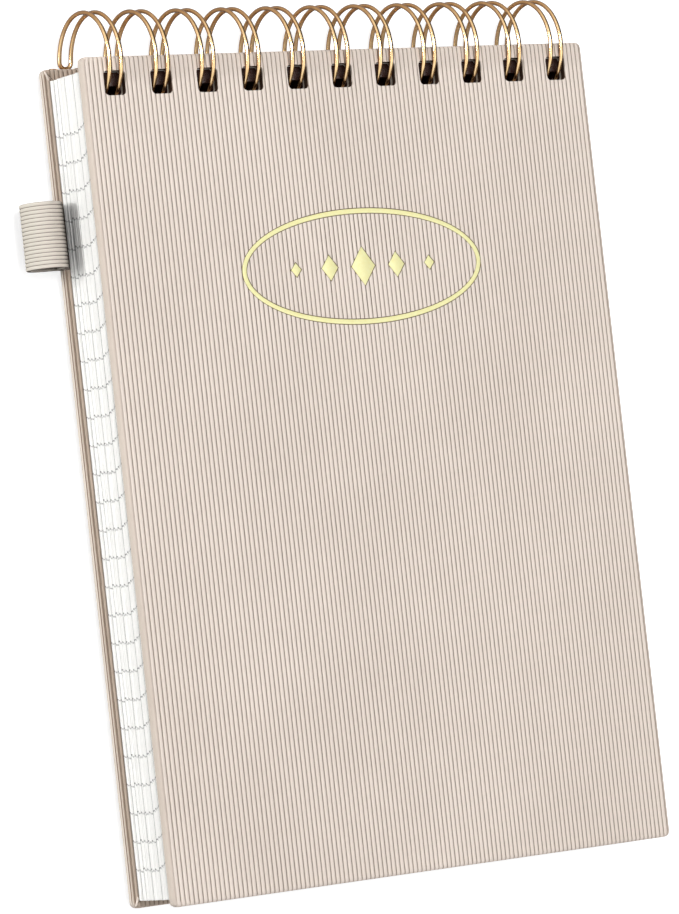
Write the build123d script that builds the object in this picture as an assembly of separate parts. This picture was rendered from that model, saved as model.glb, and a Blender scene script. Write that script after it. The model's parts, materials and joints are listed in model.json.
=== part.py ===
from build123d import *
import math
import os

# Wire-bound pocket notebook, lying on its back cover.
# Origin: centre of the back cover's outer face. +X runs across the width,
# +Y towards the bound top edge, +Z up through the thickness. Sizes in mm.

# ---- driving dimensions -------------------------------------------------
loop_count = 11
loop_pitch = 25.4 / 3  # three loops to the inch
cover_w = 96.0
cover_h = 132.0
cover_corner_r = 1.0
wrap_t = 0.35  # ribbed cloth over the boards
board_t = 0.95
endpaper_t = 0.15
turn_in = 14.0  # how far the cloth is folded in over the board
endpaper_inset = 2.0  # bare cloth lip all round the endpaper

leaf_count = 100
single_leaf_count = 10  # top leaves that turn one by one
leaf_pitch = 0.102
leaf_t = 0.095
leaf_side_inset = 1.0
leaf_top_inset = 2.0
leaf_bottom_inset = 1.2

ring_r = 7.7  # centreline of the closed loops
wire_d = 0.7
pair_spacing = 2.1  # between the two wires of one loop
ring_beyond_edge = 0.2  # loop centre above the covers' top edge
base_bend_r = 1.0
closure_gap = 0.2  # loop tips stop this far short of the base line
end_stub = 0.8

hole_size = 3.9
hole_corner_r = 0.7
cover_hole_below_centre = 4.4  # hole centre below the loops' centre
leaf_hole_below_centre = 6.6

loop_band_w = 10.4  # elastic band, along Y
loop_band_y = 39.5
loop_inner_r = 2.6
loop_band_t = 0.8
loop_centre_out = 4.0  # beyond the covers' side edge
tongue_len = 12.0
tongue_t = 0.9
tongue_slit = 0.06

oval_w = 46.0
oval_h = 18.8
oval_line = 1.0
oval_below_top = 35.0
foil_t = 0.06
deboss = 0.15
cut_over = 1.0  # how far a cutting shape reaches past the piece it cuts
lozenge_step = 6.4
lozenge_sizes = [(4.8, 6.6), (3.4, 4.4), (2.2, 2.6)]  # centre one, then outwards

# ---- worked out from the above ------------------------------------------
cover_t = 2 * wrap_t + board_t + endpaper_t
block_t = leaf_count * leaf_pitch
total_t = 2 * cover_t + block_t
ring_y = cover_h / 2 + ring_beyond_edge
ring_z = total_t / 2
wire_r = wire_d / 2
leaf_w = cover_w - 2 * leaf_side_inset
leaf_h = cover_h - leaf_top_inset - leaf_bottom_inset
leaf_y = (leaf_bottom_inset - leaf_top_inset) / 2
hole_xs = [(i - (loop_count - 1) / 2) * loop_pitch for i in range(loop_count)]
front_plane = Plane.XY.offset(ring_z)  # the two covers mirror in it
oval_y = cover_h / 2 - oval_below_top


def slab(w, h, z0, z1, y=0.0, x=0.0):
    """A flat sheet w by h between two heights."""
    return Pos(x, y, (z0 + z1) / 2) * Box(w, h, z1 - z0)


def rounded_slab(w, h, z0, z1, r):
    sheet = slab(w, h, z0, z1)
    return fillet(sheet.edges().filter_by(Axis.Z), r)


def cover_punch():
    """The round-cornered holes, tall enough for one cover."""
    y = ring_y - cover_hole_below_centre
    hole = RectangleRounded(hole_size, hole_size, hole_corner_r)
    prism = extrude(hole, cover_t + 2 * cut_over)
    return Compound(children=[Pos(x, y, -cut_over) * prism for x in hole_xs])


def leaf_punch():
    """The square holes of one leaf."""
    y = ring_y - leaf_hole_below_centre
    prism = Box(hole_size, hole_size, leaf_t + 2 * cut_over)
    return Compound(children=[Pos(x, y, 0) * prism for x in hole_xs])


def cover_layers():
    """Cloth, board and endpaper of a cover whose outer face lies on z = 0."""
    board_z0 = wrap_t
    board_z1 = wrap_t + board_t
    flap_z1 = board_z1 + wrap_t
    board = slab(cover_w - 2 * wrap_t, cover_h - 2 * wrap_t, board_z0, board_z1)
    wrap = rounded_slab(cover_w, cover_h, 0, flap_z1, cover_corner_r)
    wrap -= board
    window_w = cover_w - 2 * turn_in
    window_h = cover_h - 2 * turn_in
    wrap -= slab(window_w, window_h, board_z1, flap_z1)
    # the endpaper steps down onto the board inside the turned-in cloth
    paper = slab(cover_w - 2 * endpaper_inset, cover_h - 2 * endpaper_inset, flap_z1, cover_t)
    paper += slab(window_w, window_h, board_z1, flap_z1)
    inner_w = window_w - 2 * endpaper_t
    inner_h = window_h - 2 * endpaper_t
    paper -= slab(inner_w, inner_h, board_z1 + endpaper_t, cover_t)
    punch = cover_punch()
    return wrap - punch, board - punch, paper - punch


def pen_loop_piece():
    """A flat elastic band folded into a loop, with both ends in one tongue."""
    z1 = wrap_t + board_t + wrap_t
    tongue_z = z1 - tongue_t / 2
    outer_r = loop_inner_r + loop_band_t
    cx = -cover_w / 2 - loop_centre_out
    tongue_x0 = cx
    tongue_x1 = -cover_w / 2 + tongue_len
    tongue_w = tongue_x1 - tongue_x0
    tongue = Pos(tongue_x0 + tongue_w / 2, tongue_z) * Rectangle(tongue_w, tongue_t)
    slit = Pos(tongue_x0 + tongue_w / 2, tongue_z) * Rectangle(tongue_w + cut_over, tongue_slit)
    loop = Pos(cx, outer_r) * Circle(outer_r)
    inside = Pos(cx, outer_r) * Circle(loop_inner_r)
    section = loop + tongue - inside - slit
    band = extrude(Plane.XZ * section, loop_band_w / 2, both=True)
    return Pos(0, loop_band_y, 0) * band


def tongue_recess():
    """Room for the band's tongue in the board and the turned-in cloth."""
    z1 = wrap_t + board_t + wrap_t
    x1 = -cover_w / 2 + tongue_len
    x0 = -cover_w / 2 - cut_over
    return slab(x1 - x0, loop_band_w, z1 - tongue_t, z1, loop_band_y, (x0 + x1) / 2)


def foil_shapes():
    """Flat outlines of the oval line and of the ornament inside it."""
    oval = Ellipse(oval_w / 2, oval_h / 2)
    oval -= Ellipse(oval_w / 2 - oval_line, oval_h / 2 - oval_line)
    lozenges = []
    for step, (w, h) in enumerate(lozenge_sizes):
        corners = [(w / 2, 0), (0, h / 2), (-w / 2, 0), (0, -h / 2)]
        lozenge = make_face(Polyline(*corners, close=True))
        for side in ([0] if step == 0 else [-1, 1]):
            lozenges.append(Pos(side * step * lozenge_step, 0) * lozenge)
    return Pos(0, oval_y) * oval, [Pos(0, oval_y) * s for s in lozenges]


def ring_point(x, angle):
    """A point of the loops' centreline; 0 degrees points down the page."""
    a = math.radians(angle)
    return Vector(x, ring_y - ring_r * math.cos(a), ring_z + ring_r * math.sin(a))


def ring_direction(angle):
    a = math.radians(angle)
    return Vector(0, math.sin(a), math.cos(a))


def bend(p0, start_dir, side_dir, r, turn):
    """An arc from p0 that leaves along start_dir and curves to side_dir."""
    centre = p0 + side_dir * r

    def at(degrees):
        t = math.radians(degrees)
        return centre - side_dir * (r * math.cos(t)) + start_dir * (r * math.sin(t))

    return Edge.make_three_point_arc(p0, at(turn / 2), at(turn)), at(turn)


def twin_loop_wire_piece():
    """One wire: eleven double loops joined along a base line at the back."""
    half = pair_spacing / 2
    along = Vector(1, 0, 0)
    zone = base_bend_r + closure_gap + half
    start_angle = -90 + math.degrees(zone / 2 / ring_r)
    tip_angle = 270 - math.degrees(zone / 2 / ring_r)
    middle = (start_angle + tip_angle) / 2
    up = ring_direction(start_angle)
    tip_way = ring_direction(tip_angle)
    edges = []
    for i, x in enumerate(hole_xs):
        left = ring_point(x - half, start_angle)
        corner = left - up * base_bend_r - along * base_bend_r
        if i == 0:
            stub = corner - along * end_stub
            edges.append(Edge.make_line(stub, corner))
        else:
            edges.append(Edge.make_line(last_corner, corner))
        arc, joint = bend(corner, along, up, base_bend_r, 90)
        edges.append(arc)
        tip_left = ring_point(x - half, tip_angle)
        edges.append(Edge.make_three_point_arc(left, ring_point(x - half, middle), tip_left))
        arc, tip_right = bend(tip_left, tip_way, along, half, 180)
        edges.append(arc)
        right = ring_point(x + half, start_angle)
        edges.append(Edge.make_three_point_arc(tip_right, ring_point(x + half, middle), right))
        arc, last_corner = bend(right, -up, along, base_bend_r, 90)
        edges.append(arc)
    edges.append(Edge.make_line(last_corner, last_corner + along * end_stub))
    path = Wire(edges)
    section = Plane(origin=path @ 0, z_dir=path % 0) * Circle(wire_r)
    return sweep(section, path=path)


def leaf_pieces():
    """Every leaf from the top of the block down."""
    blank = slab(leaf_w, leaf_h, -leaf_t / 2, leaf_t / 2, leaf_y) - leaf_punch()
    top = total_t - cover_t - leaf_pitch / 2
    return [Pos(0, 0, top - i * leaf_pitch) * blank for i in range(leaf_count)]


def to_front(piece):
    return mirror(piece, about=front_plane)


def save(name, *pieces):
    shape = pieces[0] if len(pieces) == 1 else Compound(children=list(pieces))
    export_step(shape, f"parts/{name}.step")


os.makedirs("parts", exist_ok=True)
wrap, board, paper = cover_layers()
recess = tongue_recess()
save("back_cover_wrap", wrap - recess)
save("back_cover_board", board - recess)
save("back_endpaper", paper)
save("pen_loop", pen_loop_piece())
save("twin_loop_wire", twin_loop_wire_piece())

oval, lozenges = foil_shapes()
stamp = extrude(Pos(0, 0, total_t - deboss) * oval, deboss)
for lozenge in lozenges:
    stamp += extrude(Pos(0, 0, total_t - deboss) * lozenge, deboss)
save("front_cover_wrap", to_front(wrap) - stamp)
save("front_cover_board", to_front(board))
save("front_endpaper", to_front(paper))
save("foil_oval", extrude(Pos(0, 0, total_t - deboss) * oval, foil_t))
save("foil_ornament", *[extrude(Pos(0, 0, total_t - deboss) * s, foil_t) for s in lozenges])

leaves = leaf_pieces()
for number, leaf in enumerate(leaves[:single_leaf_count], start=1):
    save(f"leaf_{number:02d}", leaf)
save("leaf_block", *leaves[single_leaf_count:])
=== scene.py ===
import json
import math
import random

import bmesh
import bpy
from mathutils import Matrix, Vector


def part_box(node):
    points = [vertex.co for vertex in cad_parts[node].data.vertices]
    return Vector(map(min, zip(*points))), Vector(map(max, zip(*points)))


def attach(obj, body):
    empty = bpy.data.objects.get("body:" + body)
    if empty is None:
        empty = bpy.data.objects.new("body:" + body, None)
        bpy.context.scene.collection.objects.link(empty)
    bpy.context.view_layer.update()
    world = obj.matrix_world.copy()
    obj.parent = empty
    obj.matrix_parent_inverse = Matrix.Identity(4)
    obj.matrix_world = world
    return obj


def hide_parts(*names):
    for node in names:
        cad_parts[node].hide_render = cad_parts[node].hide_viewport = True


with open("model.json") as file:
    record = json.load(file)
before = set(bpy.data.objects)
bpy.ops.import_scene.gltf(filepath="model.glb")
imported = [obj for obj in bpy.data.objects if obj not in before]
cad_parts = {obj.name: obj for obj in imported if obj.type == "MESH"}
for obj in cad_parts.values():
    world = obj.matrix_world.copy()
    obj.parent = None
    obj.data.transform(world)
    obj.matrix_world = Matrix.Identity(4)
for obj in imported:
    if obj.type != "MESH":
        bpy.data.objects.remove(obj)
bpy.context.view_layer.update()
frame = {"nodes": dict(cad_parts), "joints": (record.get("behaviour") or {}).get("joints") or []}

# Looks for the wire-bound pocket notebook. Lengths below are in millimetres, in the
# CAD frame: +X across the width, +Y towards the wire, +Z from back cover to front.
MM = 0.001
random.seed(11)

# ---- sizes taken from the frame ------------------------------------------


def box_mm(node):
    low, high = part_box(node)
    return low / MM, high / MM


BACK_LOW, BACK_HIGH = box_mm("back_cover_wrap")
FRONT_LOW, FRONT_HIGH = box_mm("front_cover_wrap")
BLOCK_LOW, BLOCK_HIGH = box_mm("leaf_block")
WIRE_LOW, WIRE_HIGH = box_mm("twin_loop_wire")
PEN_LOW, PEN_HIGH = box_mm("pen_loop")
OVAL_LOW, OVAL_HIGH = box_mm("foil_oval")
ORNAMENT_LOW, ORNAMENT_HIGH = box_mm("foil_ornament")
HINGE = [j for j in frame["joints"] if j["name"] == "cover_flip"][0]["pos_m"]
RING_Y = HINGE[1] / MM
RING_Z = HINGE[2] / MM
COVER_W = BACK_HIGH.x - BACK_LOW.x
COVER_H = BACK_HIGH.y - BACK_LOW.y
TOTAL_T = FRONT_HIGH.z
CLOTH_T = BACK_HIGH.z - BACK_LOW.z  # outer face to turned-in cloth
LEAF_NAMES = sorted(n for n in frame["nodes"] if n.startswith("leaf_") and n != "leaf_block")

# ---- design values shared with the CAD ------------------------------------
LOOP_COUNT = 11
LOOP_PITCH = 25.4 / 3
PAIR_SPACING = 2.1
WIRE_R = 0.35
RING_R = WIRE_HIGH.y - RING_Y - WIRE_R
BASE_BEND_R = 1.0
CLOSURE_GAP = 0.2
END_STUB = 0.8
HOLE = 3.9
HOLE_CORNER_R = 0.7
COVER_HOLE_Y = RING_Y - 4.4
LEAF_HOLE_Y = RING_Y - 6.6
BOARD_INSET = 0.35
BOARD_T = 0.95
TURN_IN = 14.0
DEBOSS = 0.15
OVAL_LINE = 1.0
LEAF_T = 0.095
HOLE_XS = [(i - (LOOP_COUNT - 1) / 2) * LOOP_PITCH for i in range(LOOP_COUNT)]

# ---- ribbed cloth ----------------------------------------------------------
EDGE_R = 0.5  # how round the cloth turns over the board's edges
CORNER_R = 1.0
CORNER_REACH = 5.0  # the ribs bend in towards a corner over this width
FACE_HALF = COVER_W / 2 - EDGE_R
FACE_RIBS = 116
SIDE_RIBS = 3
RIB_DEPTH = 0.2
RIB_SAMPLES = (0.0, 0.07, 0.18, 0.35, 0.65, 0.82, 0.93)
RIB_POWER = 3.2
# Painted shade on the sides: SMOOTH_SIDE is below the crest's value, so the smooth side strips are
# painted a little darker than the face, and the back cover's side ribs are squared in store_rib,
# which widens their painted groove shade.
SMOOTH_SIDE = 0.42  # rib value where the cloth is stretched smooth
SIDE_CREST = 0.72  # rib value on a side rib's crest
ROWS_INSIDE = (0.5, 1.5, 4.0, 9.0, 20.0, 36.0, 52.0)  # rows of the mesh, in from the rounded end
END_STEPS = 6
CAP_SHARES = (0.2, 0.5, 0.8)  # how the closing strips at each end are divided
CUT_PAST = 1.0  # how far a cutting shape reaches past the cloth

# ---- corner seams of the turned-in cloth -------------------------------------
SLIT_HALF_W = 0.07
SLIT_NEAR = 0.8  # in from the cover's edges
SLIT_FAR = 2.6
WELT_W = 0.42
WELT_RISE = 0.16
WELT_SUNK = 0.3
WELT_START = 0.35  # in from both edges
WELT_STOP = (0.9, 1.8)
WELT_SECTIONS = ((0.0, 0.3), (0.15, 0.9), (0.5, 1.0), (0.85, 0.8), (1.0, 0.3))  # share along, size
WELT_ROUND = ((-1, 0), (-0.7, 0.65), (0, 1), (0.7, 0.65), (1, 0))  # across, up


# ---- small mesh tools --------------------------------------------------------


def add_mesh(name, points, faces, smooth=True):
    """An object from points in mm."""
    mesh = bpy.data.meshes.new(name)
    mesh.from_pydata([Vector(p) * MM for p in points], [], faces)
    mesh.validate()
    bm = bmesh.new()
    bm.from_mesh(mesh)
    bmesh.ops.recalc_face_normals(bm, faces=bm.faces)
    bm.to_mesh(mesh)
    bm.free()
    for polygon in mesh.polygons:
        polygon.use_smooth = smooth
    obj = bpy.data.objects.new(name, mesh)
    bpy.context.scene.collection.objects.link(obj)
    return obj


def apply_modifiers(obj):
    depsgraph = bpy.context.evaluated_depsgraph_get()
    mesh = bpy.data.meshes.new_from_object(obj.evaluated_get(depsgraph))
    obj.modifiers.clear()
    obj.data = mesh


def carve(obj, points, faces, operation="DIFFERENCE"):
    """Cuts a closed shape, given in mm, out of obj, or adds it with operation UNION."""
    tool = add_mesh("tool", points, faces, smooth=False)
    change = obj.modifiers.new("carve", "BOOLEAN")
    change.operation = operation
    change.solver = "EXACT"
    change.object = tool
    bpy.context.view_layer.update()
    apply_modifiers(obj)
    bpy.data.objects.remove(tool)


def shade_by_angle(obj, degrees):
    for edge in obj.data.edges:
        edge.use_edge_sharp = False
    bm = bmesh.new()
    bm.from_mesh(obj.data)
    for edge in bm.edges:
        if len(edge.link_faces) == 2:
            edge.smooth = edge.calc_face_angle(0) < math.radians(degrees)
    for face in bm.faces:
        face.smooth = True
    bm.to_mesh(obj.data)
    bm.free()


def add_prism(points, faces, outline, z0, z1):
    """Adds a closed prism over a flat outline to a list of points and faces."""
    first = len(points)
    n = len(outline)
    points.extend((x, y, z0) for x, y in outline)
    points.extend((x, y, z1) for x, y in outline)
    faces.append([first + i for i in reversed(range(n))])
    faces.append([first + n + i for i in range(n)])
    for i in range(n):
        k = (i + 1) % n
        faces.append([first + i, first + k, first + n + k, first + n + i])


def rounded_square(x, y, size, r, steps=4):
    outline = []
    for corner in range(4):
        start = corner * math.pi / 2
        cx = x + (size / 2 - r) * (1 if corner in (0, 3) else -1)
        cy = y + (size / 2 - r) * (1 if corner in (0, 1) else -1)
        for i in range(steps + 1):
            a = start + math.pi / 2 * i / steps
            outline.append((cx + r * math.cos(a), cy + r * math.sin(a)))
    return outline


# ---- cloth covers --------------------------------------------------------------


def rib_height(phase):
    """1 on a rib's crest and 0 in the groove between two ribs."""
    return 1 - abs(2 * (phase % 1) - 1) ** RIB_POWER


def face_phase(x):
    return (x + FACE_HALF) / (2 * FACE_HALF) * FACE_RIBS


def side_arc(share):
    """Right edge of the cover's section: x, z, and the outward normal."""
    flat = CLOTH_T - 2 * EDGE_R
    length = math.pi * EDGE_R + flat
    s = share * length
    quarter = math.pi / 2 * EDGE_R
    if s < quarter:
        a = s / EDGE_R
        return FACE_HALF + EDGE_R * math.sin(a), EDGE_R * (1 - math.cos(a)), math.sin(a), -math.cos(a)
    if s <= quarter + flat:
        return FACE_HALF + EDGE_R, EDGE_R + s - quarter, 1.0, 0.0
    a = (s - quarter - flat) / EDGE_R
    z = CLOTH_T - EDGE_R + EDGE_R * math.sin(a)
    return FACE_HALF + EDGE_R * math.cos(a), z, math.cos(a), math.sin(a)


FACE_PHASES = [rib + s for rib in range(FACE_RIBS) for s in RIB_SAMPLES] + [FACE_RIBS]


def cover_section(side_depth, fade):
    """The cloth's outline in XZ, outer face at z 0: outer, right, inner, left.
    With fade, the side bows out instead of running straight."""
    xs = [-FACE_HALF + 2 * FACE_HALF * p / FACE_RIBS for p in FACE_PHASES]
    outer = [(x, RIB_DEPTH * (1 - rib_height(p))) for x, p in zip(xs, FACE_PHASES)]
    inner = [(x, CLOTH_T - z) for x, z in outer]
    right = []
    for rib in range(SIDE_RIBS):
        for sample in RIB_SAMPLES:
            if rib + sample == 0:
                continue
            share = (rib + sample) / SIDE_RIBS
            x, z, nx, nz = side_arc(share)
            sunk = side_depth * (1 - rib_height(rib + sample))
            bow = FACE_HALF + EDGE_R * (1 - (2 * share - 1) ** 2)
            right.append(((x - nx * sunk) * (1 - fade) + bow * fade, z - nz * sunk))
    left = [(-x, z) for x, z in reversed(right)]
    return outer, right, inner, left


def end_rows():
    """Rows along the cover: y, how much the section flattens, and corner set-in."""
    rows = []
    for i in range(END_STEPS + 1):
        a = math.pi / 2 * i / END_STEPS
        rows.append((COVER_H / 2 - EDGE_R + EDGE_R * math.sin(a), EDGE_R * (1 - math.cos(a))))
    inside = [COVER_H / 2 - EDGE_R - d for d in ROWS_INSIDE]
    half = [(y, 0.0) for y in reversed(inside)] + rows
    every = [(-y, flat) for y, flat in reversed(half)] + half
    out = []
    for y, flat in every:
        over = max(0.0, abs(y) - (COVER_H / 2 - CORNER_R))
        set_in = CORNER_R - math.sqrt(max(0.0, CORNER_R**2 - over**2))
        out.append((y, flat, set_in))
    return out


def cover_cloth(name, z_outer, direction, side_depth):
    """Ribbed cloth as one closed skin. direction is +1 when it builds up from z_outer."""
    middle = CLOTH_T / 2
    points, faces = [], []
    rows = end_rows()
    for y, flat, set_in in rows:
        # the side's ribs run out before the corners
        ribbed = min(1.0, max(0.0, COVER_H / 2 - EDGE_R - abs(y)))
        outer, right, inner, left = cover_section(side_depth * ribbed, flat / EDGE_R)
        ring = outer + right + list(reversed(inner)) + left
        squeeze = 1 - flat / middle
        for x, z in ring:
            near = max(0.0, (abs(x) - (COVER_W / 2 - CORNER_REACH)) / CORNER_REACH)
            shifted = x - math.copysign(set_in * near * near, x)
            points.append((shifted, y, middle + (z - middle) * squeeze))
    size, n, m = len(ring), len(outer), len(right)
    for j in range(len(rows) - 1):
        for i in range(size):
            k = (i + 1) % size
            faces.append([j * size + i, j * size + k, (j + 1) * size + k, (j + 1) * size + i])
    # each end is closed by strips that join the outer face to the inner one
    pairs = [(i, 2 * n + m - 1 - i) for i in range(n)]
    side = [(n + i, n + m - 1 - i) for i in range(m // 2)]
    left_first = 2 * n + m
    left_side = [(left_first + m - 1 - i, left_first + i) for i in range(m // 2)]
    pairs = list(reversed(left_side)) + pairs + side
    for j in (0, len(rows) - 1):
        way = 1 if j else -1
        strips = []
        for p, q in pairs:
            a, b = Vector(points[j * size + p]), Vector(points[j * size + q])
            sunk = RIB_DEPTH * (1 - rib_height(FACE_PHASES[p])) if p < n else 0.0
            strip = [j * size + p]
            if (p, q) not in (pairs[0], pairs[-1]):
                for share in CAP_SHARES:
                    spot = a.lerp(b, share)
                    spot.y -= way * sunk
                    strip.append(len(points))
                    points.append(tuple(spot))
            strip.append(j * size + q)
            strips.append(strip)
        for one, two in zip(strips, strips[1:]):
            if len(one) == len(two):
                for i in range(len(one) - 1):
                    faces.append([one[i], two[i], two[i + 1], one[i + 1]])
            else:
                faces.append(one + list(reversed(two)))
    placed = [(x, y, z_outer + direction * z) for x, y, z in points]
    return add_mesh(name, placed, faces)


def board_cavity(z_outer, direction):
    """The room for the board, open through the window in the turned-in cloth."""
    z0 = z_outer + direction * BOARD_INSET
    z1 = z0 + direction * BOARD_T
    z2 = z1 + direction * CUT_PAST
    half_w, half_h = COVER_W / 2 - BOARD_INSET, COVER_H / 2 - BOARD_INSET
    open_w, open_h = COVER_W / 2 - TURN_IN, COVER_H / 2 - TURN_IN

    def corners(w, h, z):
        return [(-w, -h, z), (w, -h, z), (w, h, z), (-w, h, z)]

    points = corners(half_w, half_h, z0) + corners(half_w, half_h, z1)
    points += corners(open_w, open_h, z1) + corners(open_w, open_h, z2)
    faces = [[0, 3, 2, 1], [12, 13, 14, 15]]
    for i in range(4):
        k = (i + 1) % 4
        faces.append([i, k, 4 + k, 4 + i])
        faces.append([4 + i, 4 + k, 8 + k, 8 + i])
        faces.append([8 + i, 8 + k, 12 + k, 12 + i])
    return points, faces


def hole_punch(points, faces, z0, z1):
    for x in HOLE_XS:
        add_prism(points, faces, rounded_square(x, COVER_HOLE_Y, HOLE, HOLE_CORNER_R), z0, z1)


def mitre_slits(points, faces, z_inner, direction):
    """The four seams where the turned-in cloth meets at the corners."""
    z0 = z_inner - direction * RIB_DEPTH * 1.6
    z1 = z_inner + direction * 0.5
    for sx in (-1, 1):
        for sy in (-1, 1):
            near = Vector((sx * (COVER_W / 2 - SLIT_NEAR), sy * (COVER_H / 2 - SLIT_NEAR)))
            far = Vector((sx * (COVER_W / 2 - SLIT_FAR), sy * (COVER_H / 2 - SLIT_FAR)))
            aside = Vector((sx, -sy)).normalized() * SLIT_HALF_W
            outline = [near + aside, near - aside, far - aside, far + aside]
            add_prism(points, faces, [tuple(p) for p in outline], min(z0, z1), max(z0, z1))


def mitre_welts(z_inner, direction):
    """The folded cloth that stands up a little along each corner seam."""
    points, faces = [], []
    bottom = z_inner - direction * WELT_SUNK
    for sx in (-1, 1):
        for sy in (-1, 1):
            start = Vector((sx * (COVER_W / 2 - WELT_START), sy * (COVER_H / 2 - WELT_START)))
            stop = Vector((sx * (COVER_W / 2 - WELT_STOP[0]), sy * (COVER_H / 2 - WELT_STOP[1])))
            along = stop - start
            aside = Vector((-along.y, along.x)).normalized()
            first = len(points)
            n = len(WELT_ROUND)
            for share, size in WELT_SECTIONS:
                middle = start + along * share
                for across, up in WELT_ROUND:
                    spot = middle + aside * (across * size * WELT_W / 2)
                    rise = WELT_SUNK + up * size * WELT_RISE if up else 0.0
                    points.append((spot.x, spot.y, bottom + direction * rise))
            last = first + (len(WELT_SECTIONS) - 1) * n
            for i in range(first, last, n):
                for k in range(n):
                    a, b = i + k, i + (k + 1) % n
                    faces.append([a, b, b + n, a + n])
            faces.append([first + k for k in range(n)])
            faces.append([last + k for k in range(n)])
    return points, faces


def ellipse_outline(cx, cy, rx, ry, steps=144):
    turn = 2 * math.pi / steps
    return [(cx + rx * math.cos(i * turn), cy + ry * math.sin(i * turn)) for i in range(steps)]


def add_ring_prism(points, faces, outer, inner, z0, z1):
    first = len(points)
    n = len(outer)
    for loop, z in ((outer, z0), (outer, z1), (inner, z1), (inner, z0)):
        points.extend((x, y, z) for x, y in loop)
    for part in range(4):
        after = (part + 1) % 4
        for i in range(n):
            k = (i + 1) % n
            a, b = first + part * n, first + after * n
            faces.append([a + i, a + k, b + k, b + i])


def oval_outlines(gap):
    c = (OVAL_LOW + OVAL_HIGH) / 2
    half = (OVAL_HIGH - OVAL_LOW) / 2
    outer = ellipse_outline(c.x, c.y, half.x - gap, half.y - gap)
    inner = ellipse_outline(c.x, c.y, half.x - OVAL_LINE + gap, half.y - OVAL_LINE + gap)
    return outer, inner


def lozenge_outlines(gap):
    """Outlines of the CAD ornament's lozenges, found from its separate solids."""
    mesh = frame["nodes"]["foil_ornament"].data
    bm = bmesh.new()
    bm.from_mesh(mesh)
    bmesh.ops.remove_doubles(bm, verts=bm.verts, dist=1e-7)
    left = set(bm.verts)
    boxes = []
    while left:
        group, todo = set(), [min(left, key=lambda v: v.index)]
        while todo:
            v = todo.pop()
            if v in group:
                continue
            group.add(v)
            todo.extend(e.other_vert(v) for e in v.link_edges)
        left -= group
        xs = [v.co.x / MM for v in group]
        ys = [v.co.y / MM for v in group]
        boxes.append((min(xs), max(xs), min(ys), max(ys)))
    bm.free()
    outlines = []
    for x0, x1, y0, y1 in sorted(boxes):
        cx, cy = (x0 + x1) / 2, (y0 + y1) / 2
        w, h = (x1 - x0) / 2 - gap * 1.4, (y1 - y0) / 2 - gap * 1.4
        outlines.append([(cx + w, cy), (cx, cy + h), (cx - w, cy), (cx, cy - h)])
    return outlines


def store_rib(obj, z_outer, direction, side_ribs):
    """Values for the material: rib is 0 in a groove and 1 on a crest, and drives the grooves' painted
    shade; inner rises to 1 on the turned-in inner face, which gets painted shade.
    """
    values, inner = [], []
    for v in obj.data.vertices:
        x, y = v.co.x / MM, v.co.y / MM
        z = (v.co.z / MM - z_outer) * direction
        standing = z > CLOTH_T + 0.02
        # painted shade on the turned-in inner face
        inner.append(0.0 if standing else min(1.0, max(0.0, (z - CLOTH_T + 0.4) / 0.25)))
        if standing:
            values.append(1.0)
        elif abs(x) <= FACE_HALF:
            values.append(rib_height(face_phase(x)))
        elif side_ribs and abs(y) < COVER_H / 2 - EDGE_R:
            share = min(1.0, max(0.0, z / CLOTH_T))
            # painted shade: the squared rib shape widens the dark grooves on the side
            values.append(SIDE_CREST * rib_height(share * SIDE_RIBS) ** 2)
        else:
            values.append(SMOOTH_SIDE)
    store(obj, "rib", values)
    store(obj, "inner", inner)


def store(obj, name, values):
    attribute = obj.data.attributes.new(name, "FLOAT", "POINT")
    attribute.data.foreach_set("value", values)


def store_recess_shade(obj):
    """1 on the floor of the debossed recess round the foil, which the material paints dark as shade;
    only a thin rim of it shows beside the foil.
    """
    floor_z = TOTAL_T - DEBOSS
    reach_x, reach_y = OVAL_HIGH.x + 0.2, (OVAL_HIGH.y - OVAL_LOW.y) / 2 + 0.2
    middle_y = (OVAL_HIGH.y + OVAL_LOW.y) / 2
    values = []
    for v in obj.data.vertices:
        inside = abs(v.co.x / MM) < reach_x and abs(v.co.y / MM - middle_y) < reach_y
        values.append(1.0 if inside and abs(v.co.z / MM - floor_z) < 0.01 else 0.0)
    store(obj, "recess_shade", values)


def build_covers(cloth):
    back = cover_cloth("back_cover_cloth", 0.0, 1, RIB_DEPTH)
    carve(back, *board_cavity(0.0, 1))
    points, faces = [], []
    hole_punch(points, faces, -CUT_PAST, CLOTH_T + CUT_PAST)
    mitre_slits(points, faces, CLOTH_T, 1)
    y0, y1 = PEN_LOW.y, PEN_HIGH.y
    x0, x1 = -COVER_W / 2 - CUT_PAST, PEN_HIGH.x
    tongue = [(x0, y0), (x1, y0), (x1, y1), (x0, y1)]
    add_prism(points, faces, tongue, CLOTH_T - TONGUE_T, CLOTH_T + CUT_PAST)
    carve(back, points, faces)
    carve(back, *mitre_welts(CLOTH_T, 1), operation="UNION")
    store_rib(back, 0.0, 1, True)
    front = cover_cloth("front_cover_cloth", TOTAL_T, -1, 0.02)
    carve(front, *board_cavity(TOTAL_T, -1))
    points, faces = [], []
    hole_punch(points, faces, TOTAL_T - CLOTH_T - CUT_PAST, TOTAL_T + CUT_PAST)
    mitre_slits(points, faces, TOTAL_T - CLOTH_T, -1)
    pressed_z, above = TOTAL_T - DEBOSS, TOTAL_T + CUT_PAST
    add_ring_prism(points, faces, *oval_outlines(0.0), pressed_z, above)
    for outline in lozenge_outlines(0.0):
        add_prism(points, faces, outline, pressed_z, above)
    carve(front, points, faces)
    carve(front, *mitre_welts(TOTAL_T - CLOTH_T, -1), operation="UNION")
    store_rib(front, TOTAL_T, -1, False)
    store_recess_shade(front)
    for obj, body in ((back, "back_cover"), (front, "front_cover")):
        shade_by_angle(obj, 50)
        obj.data.materials.append(cloth)
        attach(obj, body)
        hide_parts(body + "_wrap")


# ---- foil ------------------------------------------------------------------------
FOIL_GAP = 0.12
FOIL_T = 0.09


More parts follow.
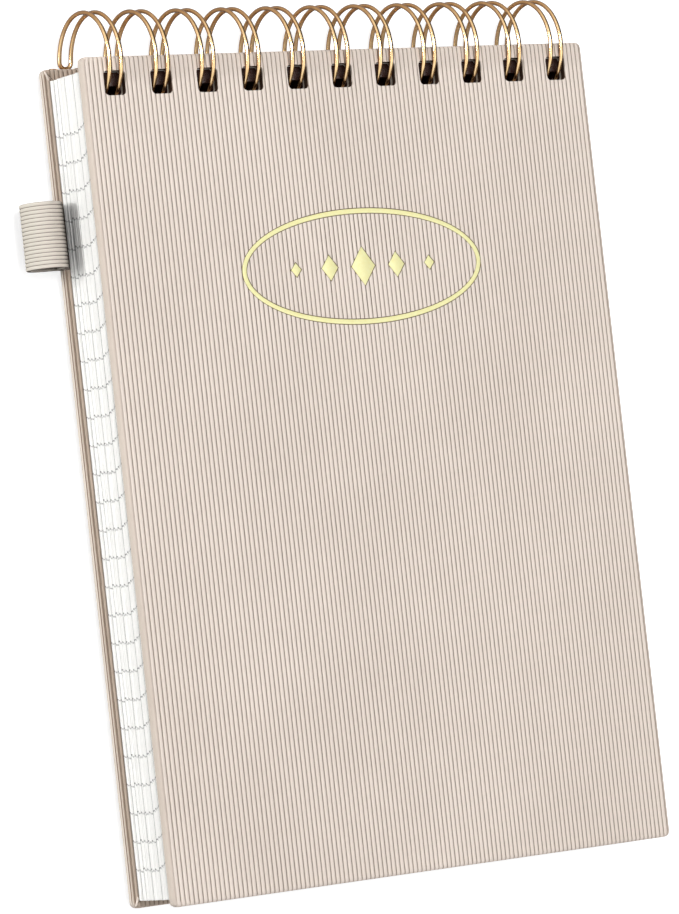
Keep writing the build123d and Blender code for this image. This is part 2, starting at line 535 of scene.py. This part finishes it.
def build_foil(foil):
    z0 = TOTAL_T - DEBOSS
    points, faces = [], []
    add_ring_prism(points, faces, *oval_outlines(FOIL_GAP), z0, z0 + FOIL_T)
    oval = add_mesh("oval_foil", points, faces, smooth=False)
    points, faces = [], []
    for outline in lozenge_outlines(FOIL_GAP):
        add_prism(points, faces, outline, z0, z0 + FOIL_T)
    ornament = add_mesh("ornament_foil", points, faces, smooth=False)
    for obj, node in ((oval, "foil_oval"), (ornament, "foil_ornament")):
        bevel = obj.modifiers.new("soft_edge", "BEVEL")
        bevel.width = 0.03 * MM
        bevel.segments = 2
        bevel.limit_method = "ANGLE"
        apply_modifiers(obj)
        shade_by_angle(obj, 60)
        obj.data.materials.append(foil)
        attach(obj, "front_cover")
        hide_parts(node)


# ---- twin-loop wire -----------------------------------------------------------------
WIRE_SIDES = 14


def ring_point(x, angle):
    a = math.radians(angle)
    return Vector((x, RING_Y - RING_R * math.cos(a), RING_Z + RING_R * math.sin(a)))


def ring_direction(angle):
    a = math.radians(angle)
    return Vector((0, math.sin(a), math.cos(a)))


def bend_points(start, start_way, side_way, r, turn, steps):
    centre = start + side_way * r
    out = []
    for i in range(1, steps + 1):
        a = math.radians(turn * i / steps)
        out.append(centre - side_way * (r * math.cos(a)) + start_way * (r * math.sin(a)))
    return out


def wire_path():
    """The wire's centreline, as in the CAD: eleven double loops on one base line."""
    half = PAIR_SPACING / 2
    along = Vector((1, 0, 0))
    zone = math.degrees((BASE_BEND_R + CLOSURE_GAP + half) / 2 / RING_R)
    start_angle, tip_angle = -90 + zone, 270 - zone
    up, tip_way = ring_direction(start_angle), ring_direction(tip_angle)
    steps = 72
    path = []
    for x in HOLE_XS:
        corner = ring_point(x - half, start_angle) - up * BASE_BEND_R - along * BASE_BEND_R
        if not path:
            path.append(corner - along * END_STUB)
        path.append(corner)
        path += bend_points(corner, along, up, BASE_BEND_R, 90, 6)
        turns = [start_angle + (tip_angle - start_angle) * i / steps for i in range(1, steps + 1)]
        path += [ring_point(x - half, a) for a in turns]
        path += bend_points(path[-1], tip_way, along, half, 180, 10)
        path += [ring_point(x + half, a) for a in reversed(turns[:-1])]
        path.append(ring_point(x + half, start_angle))
        path += bend_points(path[-1], -up, along, BASE_BEND_R, 90, 6)
    path.append(path[-1] + along * END_STUB)
    return path


def tube(name, path, r, sides):
    points, faces = [], []
    normal = Vector((0, 0, 1))
    for i, p in enumerate(path):
        way = (path[min(i + 1, len(path) - 1)] - path[max(i - 1, 0)]).normalized()
        normal = (normal - way * normal.dot(way)).normalized()
        across = way.cross(normal)
        for s in range(sides):
            a = 2 * math.pi * s / sides
            points.append(tuple(p + normal * (r * math.cos(a)) + across * (r * math.sin(a))))
    for i in range(len(path) - 1):
        for s in range(sides):
            k = (s + 1) % sides
            faces.append([i * sides + s, i * sides + k, (i + 1) * sides + k, (i + 1) * sides + s])
    faces.append(list(range(sides)))
    faces.append([(len(path) - 1) * sides + s for s in range(sides)])
    return add_mesh(name, points, faces)


def build_wire(metal):
    wire = tube("gold_twin_loops", wire_path(), WIRE_R, WIRE_SIDES)
    wire.data.materials.append(metal)
    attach(wire, "back_cover")
    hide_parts("twin_loop_wire")


# ---- leaves ------------------------------------------------------------------------------
LEAVES_IN_BLOCK = 90
LEAF_TOTAL = LEAVES_IN_BLOCK + len(LEAF_NAMES)
BUNDLES = 9
BUNDLE_GAP = 0.11  # air left between bundles of leaves
SEAM_LEAVES = 3  # leaves at the start of a bundle whose ruling lines up
EDGE_SCATTER = 0.08  # how far a leaf may sit out of line
RIPPLE = 0.004
LEAN = 1.9  # how far the last leaf's ruling has slid up


def leaf_grid(dx, dy, rows_between):
    """x and y lines of a leaf: its edges and the edges of its holes."""
    x0, x1 = BLOCK_LOW.x + dx, BLOCK_HIGH.x + dx
    y0, y1 = BLOCK_LOW.y + dy, BLOCK_HIGH.y + dy
    xs = [x0]
    for x in HOLE_XS:
        xs += [x - HOLE / 2 + dx * 0.5, x + HOLE / 2 + dx * 0.5]
    xs.append(x1)
    hole_y = [LEAF_HOLE_Y - HOLE / 2, LEAF_HOLE_Y + HOLE / 2]
    ys = [y0 + (hole_y[0] - y0) * i / rows_between for i in range(rows_between)]
    return xs, ys + hole_y + [y1]


class Sheets:
    """Thin sheets gathered into one mesh, each with its own look values."""

    def __init__(self):
        self.points, self.faces = [], []
        # the first look value is painted shade on a sheet's edge faces
        self.looks = {"edge_shade": [], "shift": [], "ink": []}

    def add(self, dx, dy, z, thick, rows_between, edge_shade, shift, ink):
        """One sheet with a row of square holes, as a closed solid."""
        xs, ys = leaf_grid(dx, dy, rows_between)
        nx, ny = len(xs), len(ys)
        first = len(self.points)
        phase = random.uniform(0, 6.28)
        for level in (0, 1):
            for y in ys:
                for x in xs:
                    ripple = RIPPLE * math.sin(y * 0.11 + phase) * math.cos(x * 0.05 + phase)
                    self.points.append((x, y, z + level * thick + ripple))
        for key, value in (("edge_shade", edge_shade), ("shift", shift), ("ink", ink)):
            self.looks[key] += [value] * (2 * nx * ny)

        def solid(i, j):
            if not (0 <= i < nx - 1 and 0 <= j < ny - 1):
                return False
            return not (j == ny - 3 and i % 2 == 1)

        def at(i, j, level):
            return first + level * nx * ny + j * nx + i

        for j in range(ny - 1):
            for i in range(nx - 1):
                if not solid(i, j):
                    continue
                square = ((i, j), (i + 1, j), (i + 1, j + 1), (i, j + 1))
                self.faces.append([at(*spot, 1) for spot in square])
                self.faces.append([at(*spot, 0) for spot in (square[0], *reversed(square[1:]))])
                walls = (
                    ((i, j), (i + 1, j), (i, j - 1)),
                    ((i + 1, j), (i + 1, j + 1), (i + 1, j)),
                    ((i + 1, j + 1), (i, j + 1), (i, j + 1)),
                    ((i, j + 1), (i, j), (i - 1, j)),
                )
                for a, b, beyond in walls:
                    if not solid(*beyond):
                        self.faces.append([at(*a, 0), at(*b, 0), at(*b, 1), at(*a, 1)])

    def build(self, name, paper, body, node):
        obj = add_mesh(name, self.points, self.faces, smooth=False)
        for key, values in self.looks.items():
            store(obj, key, values)
        obj.data.materials.append(paper)
        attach(obj, body)
        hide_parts(node)


def scatter(reach):
    return random.uniform(-reach, reach)


def lean(depth):
    """How far the ruling has slid up, from 0 at the back leaf to 1 at the front one."""
    return LEAN * max(0.0, (depth - 0.55) / 0.45) ** 2.5


def build_leaves(paper):
    low, high = BLOCK_LOW.z, BLOCK_HIGH.z
    bundles = [LEAVES_IN_BLOCK // BUNDLES + random.randint(-2, 2) for _ in range(BUNDLES - 1)]
    bundles.append(LEAVES_IN_BLOCK - sum(bundles))
    step = (high - low - LEAF_T - BUNDLE_GAP * (BUNDLES - 1)) / (LEAVES_IN_BLOCK - 1)
    block = Sheets()
    z = low
    placed = 0
    for size in bundles:
        out_of_line, ruling = scatter(0.05), scatter(0.12)
        for i in range(size):
            on_seam = i < SEAM_LEAVES
            # painted shade on the edge of a bundle's first leaf, and faintly on some single leaves
            edge_shade = 1.0 if i == 0 else random.choice((0.0, 0.0, 0.0, 0.10))
            stray = scatter(0.12) if random.random() < 0.75 else scatter(0.45)
            shift = ruling + lean(placed / LEAF_TOTAL) + (0.25 if on_seam else stray)
            ink = 1.0 if on_seam else random.choice((0.25, 0.5, 0.75))
            dx, dy = out_of_line + scatter(EDGE_SCATTER), scatter(EDGE_SCATTER)
            block.add(dx, dy, z, step * 0.9, 6, edge_shade, shift, ink)
            z += step
            placed += 1
        z += BUNDLE_GAP
    block.build("leaf_block_sheets", paper, "back_cover", "leaf_block")
    for number, name in enumerate(reversed(LEAF_NAMES)):
        low, high = box_mm(name)
        shift = lean((LEAVES_IN_BLOCK + number) / LEAF_TOTAL) + scatter(0.1)
        leaf = Sheets()
        # painted shade on the edge of the first loose leaf, next to the block
        edge_shade = 0.8 if number == 0 else 0.0
        dx, dy = scatter(EDGE_SCATTER), scatter(EDGE_SCATTER)
        leaf.add(dx, dy, low.z, LEAF_T * 0.85, 10, edge_shade, shift, 0.8)
        leaf.build(name + "_sheet", paper, name, name)


# ---- pen loop --------------------------------------------------------------------------------
TONGUE_T = 0.9
BAND_T = 0.8
BAND_RIBS = 17
BAND_RIB_DEPTH = 0.16
BAND_SAMPLES = (0.0, 0.12, 0.32, 0.68, 0.88)
BAND_STEPS = 56
BAND_TURN = (-58, -360 + 8)  # where the round part starts and stops, in degrees


def pen_loop_path():
    """The band's middle line from one end of the tongue round to the other.
    Each entry is x, z, and how free of the tongue the band is, from 0 to 1."""
    outer_r = (PEN_HIGH.z - PEN_LOW.z) / 2
    r = outer_r - BAND_T / 2
    cx, cz = PEN_LOW.x + outer_r, PEN_LOW.z + outer_r
    z_low = CLOTH_T - TONGUE_T * 0.75
    z_high = CLOTH_T - TONGUE_T * 0.25
    edge = -COVER_W / 2
    path = [(PEN_HIGH.x, z_low, 0), (edge + 4, z_low, 0), (edge + 1.2, z_low, 0)]
    start, stop = BAND_TURN
    for i in range(BAND_STEPS + 1):
        a = math.radians(start + (stop - start) * i / BAND_STEPS)
        path.append((cx + r * math.cos(a), cz + r * math.sin(a), 1))
    path += [(edge - 1.15, z_high + 0.55, 0.8), (edge - 0.2, z_high + 0.05, 0.2)]
    path += [(edge + 1.2, z_high, 0), (edge + 4, z_high, 0), (PEN_HIGH.x, z_high, 0)]
    return path


def build_pen_loop(elastic):
    path = pen_loop_path()
    y0, y1 = PEN_LOW.y, PEN_HIGH.y
    across = [rib + s for rib in range(BAND_RIBS) for s in BAND_SAMPLES] + [BAND_RIBS]
    points, faces = [], []
    for i, (x, z, free) in enumerate(path):
        ahead = Vector(path[min(i + 1, len(path) - 1)][:2])
        behind = Vector(path[max(i - 1, 0)][:2])
        way = (ahead - behind).normalized()
        out = Vector((way.y, -way.x))
        thick = TONGUE_T / 2 + (BAND_T - TONGUE_T / 2) * free
        for side in (-1, 1):
            order = across if side < 0 else list(reversed(across))
            for phase in order:
                y = y0 + (y1 - y0) * phase / BAND_RIBS
                sunk = BAND_RIB_DEPTH * (1 - rib_height(phase))
                d = side * max(thick / 2 - sunk, 0.05)
                points.append((x + out.x * d, y, z + out.y * d))
    size = 2 * len(across)
    for i in range(len(path) - 1):
        for s in range(size):
            k = (s + 1) % size
            faces.append([i * size + s, i * size + k, (i + 1) * size + k, (i + 1) * size + s])
    faces.append(list(range(size)))
    faces.append([(len(path) - 1) * size + s for s in range(size)])
    band = add_mesh("elastic_pen_loop", points, faces)
    span = y1 - y0
    # the rib value paints the band's grooves dark, as painted shade
    ribs = [rib_height((v.co.y / MM - y0) / span * BAND_RIBS) for v in band.data.vertices]
    store(band, "rib", ribs)
    band.data.materials.append(elastic)
    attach(band, "back_cover")
    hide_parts("pen_loop")


# ---- materials ----------------------------------------------------------------------------------


class Nodes:
    """Shorthand for building one material's node tree."""

    def __init__(self, name):
        self.material = bpy.data.materials.new(name)
        self.material.use_nodes = True
        self.tree = self.material.node_tree
        self.tree.nodes.clear()
        self.output = self.add("ShaderNodeOutputMaterial")
        self.shader = self.add("ShaderNodeBsdfPrincipled")
        self.join(self.shader.outputs[0], self.output.inputs["Surface"])

    def add(self, kind, **values):
        node = self.tree.nodes.new(kind)
        for key, value in values.items():
            setattr(node, key, value)
        return node

    def join(self, source, target):
        self.tree.links.new(source, target)

    def math(self, operation, *inputs):
        node = self.add("ShaderNodeMath", operation=operation)
        for socket, value in zip(node.inputs, inputs):
            if isinstance(value, (int, float)):
                socket.default_value = value
            else:
                self.join(value, socket)
        return node.outputs[0]

    def place(self):
        """Object coordinates in mm, as separate x, y and z."""
        coords = self.add("ShaderNodeTexCoord")
        scale = self.add("ShaderNodeVectorMath", operation="SCALE")
        scale.inputs["Scale"].default_value = 1 / MM
        self.join(coords.outputs["Object"], scale.inputs[0])
        split = self.add("ShaderNodeSeparateXYZ")
        self.join(scale.outputs[0], split.inputs[0])
        return scale.outputs[0], split.outputs

    def stretched(self, vector, scales):
        node = self.add("ShaderNodeVectorMath", operation="MULTIPLY")
        node.inputs[1].default_value = scales
        self.join(vector, node.inputs[0])
        return node.outputs[0]

    def noise(self, vector, scale, detail=2.0, rough=0.5):
        node = self.add("ShaderNodeTexNoise")
        node.inputs["Scale"].default_value = scale
        node.inputs["Detail"].default_value = detail
        node.inputs["Roughness"].default_value = rough
        self.join(vector, node.inputs["Vector"])
        return node.outputs[0]

    def ramp(self, value, *stops):
        node = self.add("ShaderNodeValToRGB")
        elements = node.color_ramp.elements
        while len(elements) < len(stops):
            elements.new(0.5)
        for element, (position, color) in zip(elements, stops):
            element.position = position
            element.color = (*color, 1.0)
        self.join(value, node.inputs[0])
        return node.outputs[0]

    def mix(self, factor, a, b, blend="MIX"):
        node = self.add("ShaderNodeMix", data_type="RGBA", blend_type=blend)
        for socket, value in ((node.inputs[0], factor), (node.inputs[6], a), (node.inputs[7], b)):
            if isinstance(value, (int, float)):
                socket.default_value = value
            elif isinstance(value, tuple):
                socket.default_value = (*value, 1.0)
            else:
                self.join(value, socket)
        return node.outputs[2]

    def bump(self, height, distance_mm, strength):
        node = self.add("ShaderNodeBump")
        node.inputs["Distance"].default_value = distance_mm * MM
        node.inputs["Strength"].default_value = strength
        self.join(height, node.inputs["Height"])
        return node.outputs[0]

    def set(self, **values):
        names = {"rough": "Roughness", "metal": "Metallic", "color": "Base Color",
                 "normal": "Normal", "sheen": "Sheen Weight", "sheen_rough": "Sheen Roughness",
                 "specular": "Specular IOR Level"}
        for key, value in values.items():
            socket = self.shader.inputs[names[key]]
            if isinstance(value, (int, float)):
                socket.default_value = value
            elif isinstance(value, tuple):
                socket.default_value = (*value, 1.0)
            else:
                self.join(value, socket)


WHITE = (1.0, 1.0, 1.0)
# Painted shade: multiplies the cloth's faces that turn sideways, along X.
SIDE_SHADE_TINT = (0.92, 0.94, 0.925)
# Painted shade: multiplies the turned-in inner face of the cloth.
INNER_SHADE_TINT = (0.62, 0.57, 0.52)
# Painted shade in the thin recess rim round the foil.
RECESS_SHADE_COLOR = (0.10, 0.06, 0.02)
THREAD_PITCH = 0.16
# Reach of the ambient occlusion that paints shade where the cloth runs into a narrow gap.
GAP_SHADE_REACH = 6.0  # how far off a surface may be to darken a tucked-in place


def cloth_material(name, groove, crest, thread_axis, shade_gaps):
    """Ribbed cloth: grooves painted dark as shade, pale crests, fine threads across the ribs.
    With the last argument set, it also paints shade from ambient occlusion where it runs into a
    narrow gap."""
    n = Nodes(name)
    place, axes = n.place()
    rib = n.add("ShaderNodeAttribute", attribute_name="rib").outputs["Fac"]
    between = tuple((g + c) / 2 for g, c in zip(groove, crest))
    # Painted shade: the rib value colours the grooves dark and the crests pale, standing in for the
    # shade in the grooves.
    base = n.ramp(rib, (0.0, groove), (0.30, between), (0.62, crest))
    patches = n.noise(place, 0.05, 3.0)
    tint = n.ramp(patches, (0.3, (0.965, 0.96, 0.955)), (0.7, (1.03, 1.03, 1.03)))
    color = n.mix(1.0, base, tint, "MULTIPLY")
    long_way = (9.0, 0.8, 9.0) if thread_axis == "y" else (0.8, 9.0, 0.8)
    fibres = n.noise(n.stretched(place, long_way), 1.0, 3.0, 0.6)
    fleck = n.ramp(fibres, (0.3, (0.95, 0.945, 0.94)), (0.7, (1.03, 1.03, 1.03)))
    color = n.mix(1.0, color, fleck, "MULTIPLY")
    # painted shade on the recess floor round the foil
    recess_shade = n.add("ShaderNodeAttribute", attribute_name="recess_shade").outputs["Fac"]
    color = n.mix(recess_shade, color, RECESS_SHADE_COLOR)
    # painted shade on the turned-in inner face
    inner = n.add("ShaderNodeAttribute", attribute_name="inner").outputs["Fac"]
    color = n.mix(inner, color, n.mix(1.0, color, INNER_SHADE_TINT, "MULTIPLY"))
    normal = n.add("ShaderNodeSeparateXYZ")
    n.join(n.add("ShaderNodeTexCoord").outputs["Normal"], normal.inputs[0])
    # painted shade on faces turned sideways
    sideways = n.math("ABSOLUTE", normal.outputs["X"])
    color = n.mix(1.0, color, n.ramp(sideways, (0.3, WHITE), (0.8, SIDE_SHADE_TINT)), "MULTIPLY")
    across = axes["Y"] if thread_axis == "y" else axes["X"]
    thread = n.math("SINE", n.math("MULTIPLY", across, 2 * math.pi / THREAD_PITCH))
    height = n.math("ADD", n.math("MULTIPLY", thread, 0.35), fibres)
    if shade_gaps:
        # painted shade from ambient occlusion where the cloth runs into a narrow gap
        shade = n.add("ShaderNodeAmbientOcclusion")
        shade.samples = 8
        shade.inputs["Distance"].default_value = GAP_SHADE_REACH * MM
        dim = n.ramp(shade.outputs["AO"], (0.25, (0.05, 0.035, 0.03)), (0.72, WHITE))
        color = n.mix(1.0, color, dim, "MULTIPLY")
    n.set(color=color, rough=0.86, sheen=0.05, sheen_rough=0.5, specular=0.12)
    n.set(normal=n.bump(height, 0.02, 0.5))
    return n.material


def gold_wire_material():
    n = Nodes("gold_wire")
    place, _ = n.place()
    # Painted shade: the colour runs from pale gold where the wire faces the camera to near black at
    # its edges, which draws dark lines along the wire.
    facing = n.add("ShaderNodeLayerWeight")
    facing.inputs["Blend"].default_value = 0.5
    base = n.ramp(facing.outputs["Facing"], (0.0, (0.95, 0.72, 0.42)), (0.40, (0.74, 0.42, 0.18)),
                  (0.80, (0.10, 0.035, 0.012)))
    wear = n.ramp(n.noise(place, 0.8, 3.0), (0.3, (0.88, 0.84, 0.80)), (0.7, (1.05, 1.05, 1.05)))
    color = n.mix(1.0, base, wear, "MULTIPLY")
    draw = n.noise(place, 14.0, 2.0)
    n.set(color=color, metal=1.0, rough=n.math("ADD", n.math("MULTIPLY", draw, 0.08), 0.19))
    n.set(normal=n.bump(draw, 0.002, 0.2))
    return n.material


def gold_foil_material():
    n = Nodes("gold_foil")
    place, _ = n.place()
    grain = n.noise(place, 1.6, 4.0, 0.6)
    base = n.ramp(grain, (0.25, (0.97, 0.90, 0.42)), (0.75, (1.0, 0.98, 0.56)))
    fine = n.noise(n.stretched(place, (7.6, 1.2, 7.6)), 1.0, 2.0)
    n.set(color=base, metal=0.1, rough=n.math("ADD", n.math("MULTIPLY", fine, 0.18), 0.32))
    n.set(normal=n.bump(fine, 0.02, 0.35))
    return n.material


LINE_PITCH = 4.43
LINE_WIDTH = 0.17
FIRST_LINE = 9.0  # below the leaf's top edge
LAST_LINE = 26  # counted from 0, the lowest ruled line
SPECK_WIDTH = 0.26
HOLE_SHADE_REACH = 5.0


def paper_material():
    """White ruled paper. The lines run to the edges, so they show as specks there."""
    n = Nodes("ruled_paper")
    place, axes = n.place()
    fibre = n.noise(place, 5.0, 4.0, 0.7)
    mottled = n.ramp(fibre, (0.3, (0.975, 0.97, 0.945)), (0.7, (0.99, 0.987, 0.972)))
    normal = n.add("ShaderNodeSeparateXYZ")
    n.join(n.add("ShaderNodeTexCoord").outputs["Normal"], normal.inputs[0])
    on_face = n.math("GREATER_THAN", n.math("ABSOLUTE", normal.outputs["Z"]), 0.5)
    on_edge = n.math("SUBTRACT", 1.0, on_face)
    edge_shade = n.add("ShaderNodeAttribute", attribute_name="edge_shade").outputs["Fac"]
    shift = n.add("ShaderNodeAttribute", attribute_name="shift").outputs["Fac"]
    ink = n.add("ShaderNodeAttribute", attribute_name="ink").outputs["Fac"]
    # painted shade: dark lines on the leaf edges at the gaps between bundles and at some single
    # leaves; they come and go along the page
    waves = n.noise(n.stretched(place, (0.0, 0.03, 1.0)), 1.0, 1.0)
    fade = n.ramp(waves, (0.35, (0.55,) * 3), (0.6, WHITE))
    edge_shade_mix = n.math("MULTIPLY", n.math("MULTIPLY", edge_shade, on_edge), fade)
    color = n.mix(edge_shade_mix, mottled, (0.20, 0.20, 0.19))
    y = n.math("SUBTRACT", axes["Y"], shift)
    turns = n.math("DIVIDE", n.math("SUBTRACT", BLOCK_HIGH.y - FIRST_LINE, y), LINE_PITCH)
    off = n.math("ABSOLUTE", n.math("SUBTRACT", n.math("FRACT", n.math("ADD", turns, 0.5)), 0.5))
    thin = n.math("LESS_THAN", off, LINE_WIDTH / 2 / LINE_PITCH)
    wide = n.math("LESS_THAN", off, SPECK_WIDTH / 2 / LINE_PITCH)
    below_first = n.math("GREATER_THAN", turns, -0.3)
    ruled = n.math("MULTIPLY", below_first, n.math("LESS_THAN", turns, LAST_LINE + 0.3))
    lines = n.math("MULTIPLY", n.math("MULTIPLY", thin, on_face), 0.40)
    specks = n.math("MULTIPLY", n.math("MULTIPLY", wide, on_edge), ink)
    inked = n.math("MULTIPLY", n.math("ADD", lines, specks), ruled)
    color = n.mix(inked, color, (0.06, 0.06, 0.06))
    # deep in the holes hardly any light gets back out
    shade = n.add("ShaderNodeAmbientOcclusion")
    shade.samples = 8
    shade.inputs["Distance"].default_value = HOLE_SHADE_REACH * MM
    dim = n.ramp(shade.outputs["AO"], (0.45, (0.05, 0.02, 0.015)), (0.85, WHITE))
    by_holes = n.math("GREATER_THAN", axes["Y"], LEAF_HOLE_Y - HOLE)
    by_holes = n.math("MULTIPLY", by_holes, n.math("LESS_THAN", axes["Y"], BLOCK_HIGH.y - 0.3))
    inward = n.math("LESS_THAN", n.math("ABSOLUTE", axes["X"]), HOLE_XS[-1] + HOLE * 0.7)
    by_holes = n.math("MULTIPLY", by_holes, inward)
    color = n.mix(by_holes, color, n.mix(1.0, color, dim, "MULTIPLY"))
    n.set(color=color, rough=0.9, specular=0.15)
    n.set(normal=n.bump(fibre, 0.01, 0.3))
    return n.material


def endpaper_material():
    n = Nodes("endpaper")
    place, _ = n.place()
    fibre = n.noise(n.stretched(place, (3.0, 1.2, 3.0)), 1.0, 4.0, 0.65)
    color = n.ramp(fibre, (0.3, (0.80, 0.77, 0.70)), (0.7, (0.86, 0.835, 0.775)))
    n.set(color=color, rough=0.88, specular=0.2)
    n.set(normal=n.bump(fibre, 0.03, 0.4))
    return n.material


def board_material():
    # Painted shade: the board is coloured near black so that the walls of the wire holes read as the
    # shade deep inside them.
    n = Nodes("board_dark_for_hole_shade")
    place, _ = n.place()
    pulp = n.noise(n.stretched(place, (2.0, 2.0, 9.0)), 1.0, 4.0, 0.7)
    color = n.ramp(pulp, (0.3, (0.035, 0.020, 0.014)), (0.7, (0.085, 0.050, 0.035)))
    n.set(color=color, rough=0.95, specular=0.1)
    n.set(normal=n.bump(pulp, 0.05, 0.5))
    return n.material


FLOOR_GLOW = 0.7  # lifts the floor to white in the picture only


def floor_material():
    n = Nodes("pale_floor")
    place, _ = n.place()
    soft = n.noise(place, 0.01, 2.0)
    color = n.ramp(soft, (0.3, (0.62, 0.62, 0.62)), (0.7, (0.64, 0.64, 0.64)))
    n.set(color=color, rough=0.95, specular=0.05)
    ray = n.add("ShaderNodeLightPath")
    glow = n.math("MULTIPLY", ray.outputs["Is Camera Ray"], FLOOR_GLOW)
    n.shader.inputs["Emission Color"].default_value = (1.0, 1.0, 1.0, 1.0)
    n.join(glow, n.shader.inputs["Emission Strength"])
    return n.material


def dress_cad_nodes(endpaper, board):
    for node, material in (("back_endpaper", endpaper), ("front_endpaper", endpaper),
                           ("back_cover_board", board), ("front_cover_board", board)):
        mesh = frame["nodes"][node].data
        mesh.materials.clear()
        mesh.materials.append(material)


# ---- floor, light and camera -----------------------------------------------------


FLOOR_HALF = 3000.0
FLOOR_BELOW = 0.05  # the floor's distance under the wire
SOFT_LEVEL = 0.38  # how bright the surroundings are as light
MIRRORED_LEVEL = 1.1  # and how bright they are in what the wire reflects


def build_stage():
    size = FLOOR_HALF
    z = WIRE_LOW.z - FLOOR_BELOW
    corners = [(-size, -size, z), (size, -size, z), (size, size, z), (-size, size, z)]
    floor = add_mesh("floor", corners, [[0, 1, 2, 3]])
    floor.data.materials.append(floor_material())


def area_light(name, place, target, size, watts):
    data = bpy.data.lights.new(name, "AREA")
    data.shape = "RECTANGLE"
    data.size, data.size_y = size[0] * MM, size[1] * MM
    data.energy = watts
    lamp = bpy.data.objects.new(name, data)
    bpy.context.scene.collection.objects.link(lamp)
    spot = Vector(place) * MM
    way = Vector(target) * MM - spot
    lamp.location = spot
    lamp.rotation_euler = way.to_track_quat("-Z", "Y").to_euler()


def build_world():
    """White surroundings, but darker to the right in what the wire reflects."""
    world = bpy.data.worlds.new("studio")
    world.use_nodes = True
    bpy.context.scene.world = world
    tree = world.node_tree
    tree.nodes.clear()
    output = tree.nodes.new("ShaderNodeOutputWorld")
    soft = tree.nodes.new("ShaderNodeBackground")
    mirrored = tree.nodes.new("ShaderNodeBackground")
    mix = tree.nodes.new("ShaderNodeMixShader")
    ray = tree.nodes.new("ShaderNodeLightPath")
    coords = tree.nodes.new("ShaderNodeTexCoord")
    split = tree.nodes.new("ShaderNodeSeparateXYZ")
    side = tree.nodes.new("ShaderNodeMath")
    side.operation = "MULTIPLY_ADD"
    side.inputs[1].default_value = -0.5
    side.inputs[2].default_value = 0.5
    ramp = tree.nodes.new("ShaderNodeValToRGB")
    ramp.color_ramp.elements[0].position = 0.30
    ramp.color_ramp.elements[0].color = (0.015, 0.012, 0.010, 1.0)
    ramp.color_ramp.elements[1].position = 0.62
    ramp.color_ramp.elements[1].color = (1.0, 0.98, 0.94, 1.0)
    view = tree.nodes.new("ShaderNodeMath")
    view.operation = "MULTIPLY_ADD"
    view.inputs[1].default_value = 1.0 - SOFT_LEVEL
    view.inputs[2].default_value = SOFT_LEVEL
    links = tree.links
    links.new(ray.outputs["Is Camera Ray"], view.inputs[0])
    links.new(view.outputs[0], soft.inputs["Strength"])
    links.new(coords.outputs["Generated"], split.inputs[0])
    links.new(split.outputs["X"], side.inputs[0])
    links.new(side.outputs[0], ramp.inputs[0])
    links.new(ramp.outputs[0], mirrored.inputs["Color"])
    mirrored.inputs["Strength"].default_value = MIRRORED_LEVEL
    links.new(ray.outputs["Is Glossy Ray"], mix.inputs[0])
    links.new(soft.outputs[0], mix.inputs[1])
    links.new(mirrored.outputs[0], mix.inputs[2])
    links.new(mix.outputs[0], output.inputs["Surface"])
    soft.inputs["Color"].default_value = (1.0, 1.0, 1.0, 1.0)


def build_light():
    area_light("side_key", (-600, 140, 80), (-48, 20, 4), (200, 60), 2.25)
    area_light("top_key", (-180, 220, 780), (0, 0, 0), (240, 240), 2.75)
    area_light("fill", (300, -300, 820), (0, 0, 0), (600, 600), 2.0)
    build_world()
    bpy.context.scene.view_settings.view_transform = "Standard"


CAMERA_YAW = 33.408
CAMERA_PITCH = -2.217
CAMERA_ROLL = 6.367
CAMERA_OFFSET = (-0.213, -1.539, -775.056)  # where the frame's origin sits in front of the lens
CAMERA_LENS = 188.483


def build_camera():
    turn = (Matrix.Rotation(math.radians(CAMERA_ROLL), 3, "Z")
            @ Matrix.Rotation(math.radians(CAMERA_PITCH), 3, "X")
            @ Matrix.Rotation(math.radians(CAMERA_YAW), 3, "Y"))
    back = turn.transposed()
    data = bpy.data.cameras.new("camera")
    data.sensor_width = 36.0
    data.lens = CAMERA_LENS
    data.clip_end = 20.0
    camera = bpy.data.objects.new("camera", data)
    bpy.context.scene.collection.objects.link(camera)
    place = back @ (-Vector(CAMERA_OFFSET)) * MM
    camera.matrix_world = Matrix.Translation(place) @ back.to_4x4()
    bpy.context.scene.camera = camera


def build():
    # The first colour given to each cloth is its groove colour, painted dark as shade; the elastic
    # also gets painted shade in narrow gaps.
    cloth = cloth_material("ribbed_cloth", (0.17, 0.095, 0.06), (0.82, 0.725, 0.655), "y", False)
    elastic = cloth_material("ribbed_elastic", (0.11, 0.09, 0.072), (0.63, 0.575, 0.515), "x", True)
    build_covers(cloth)
    build_foil(gold_foil_material())
    build_wire(gold_wire_material())
    build_leaves(paper_material())
    build_pen_loop(elastic)
    dress_cad_nodes(endpaper_material(), board_material())
    build_stage()
    build_light()
    build_camera()


build()
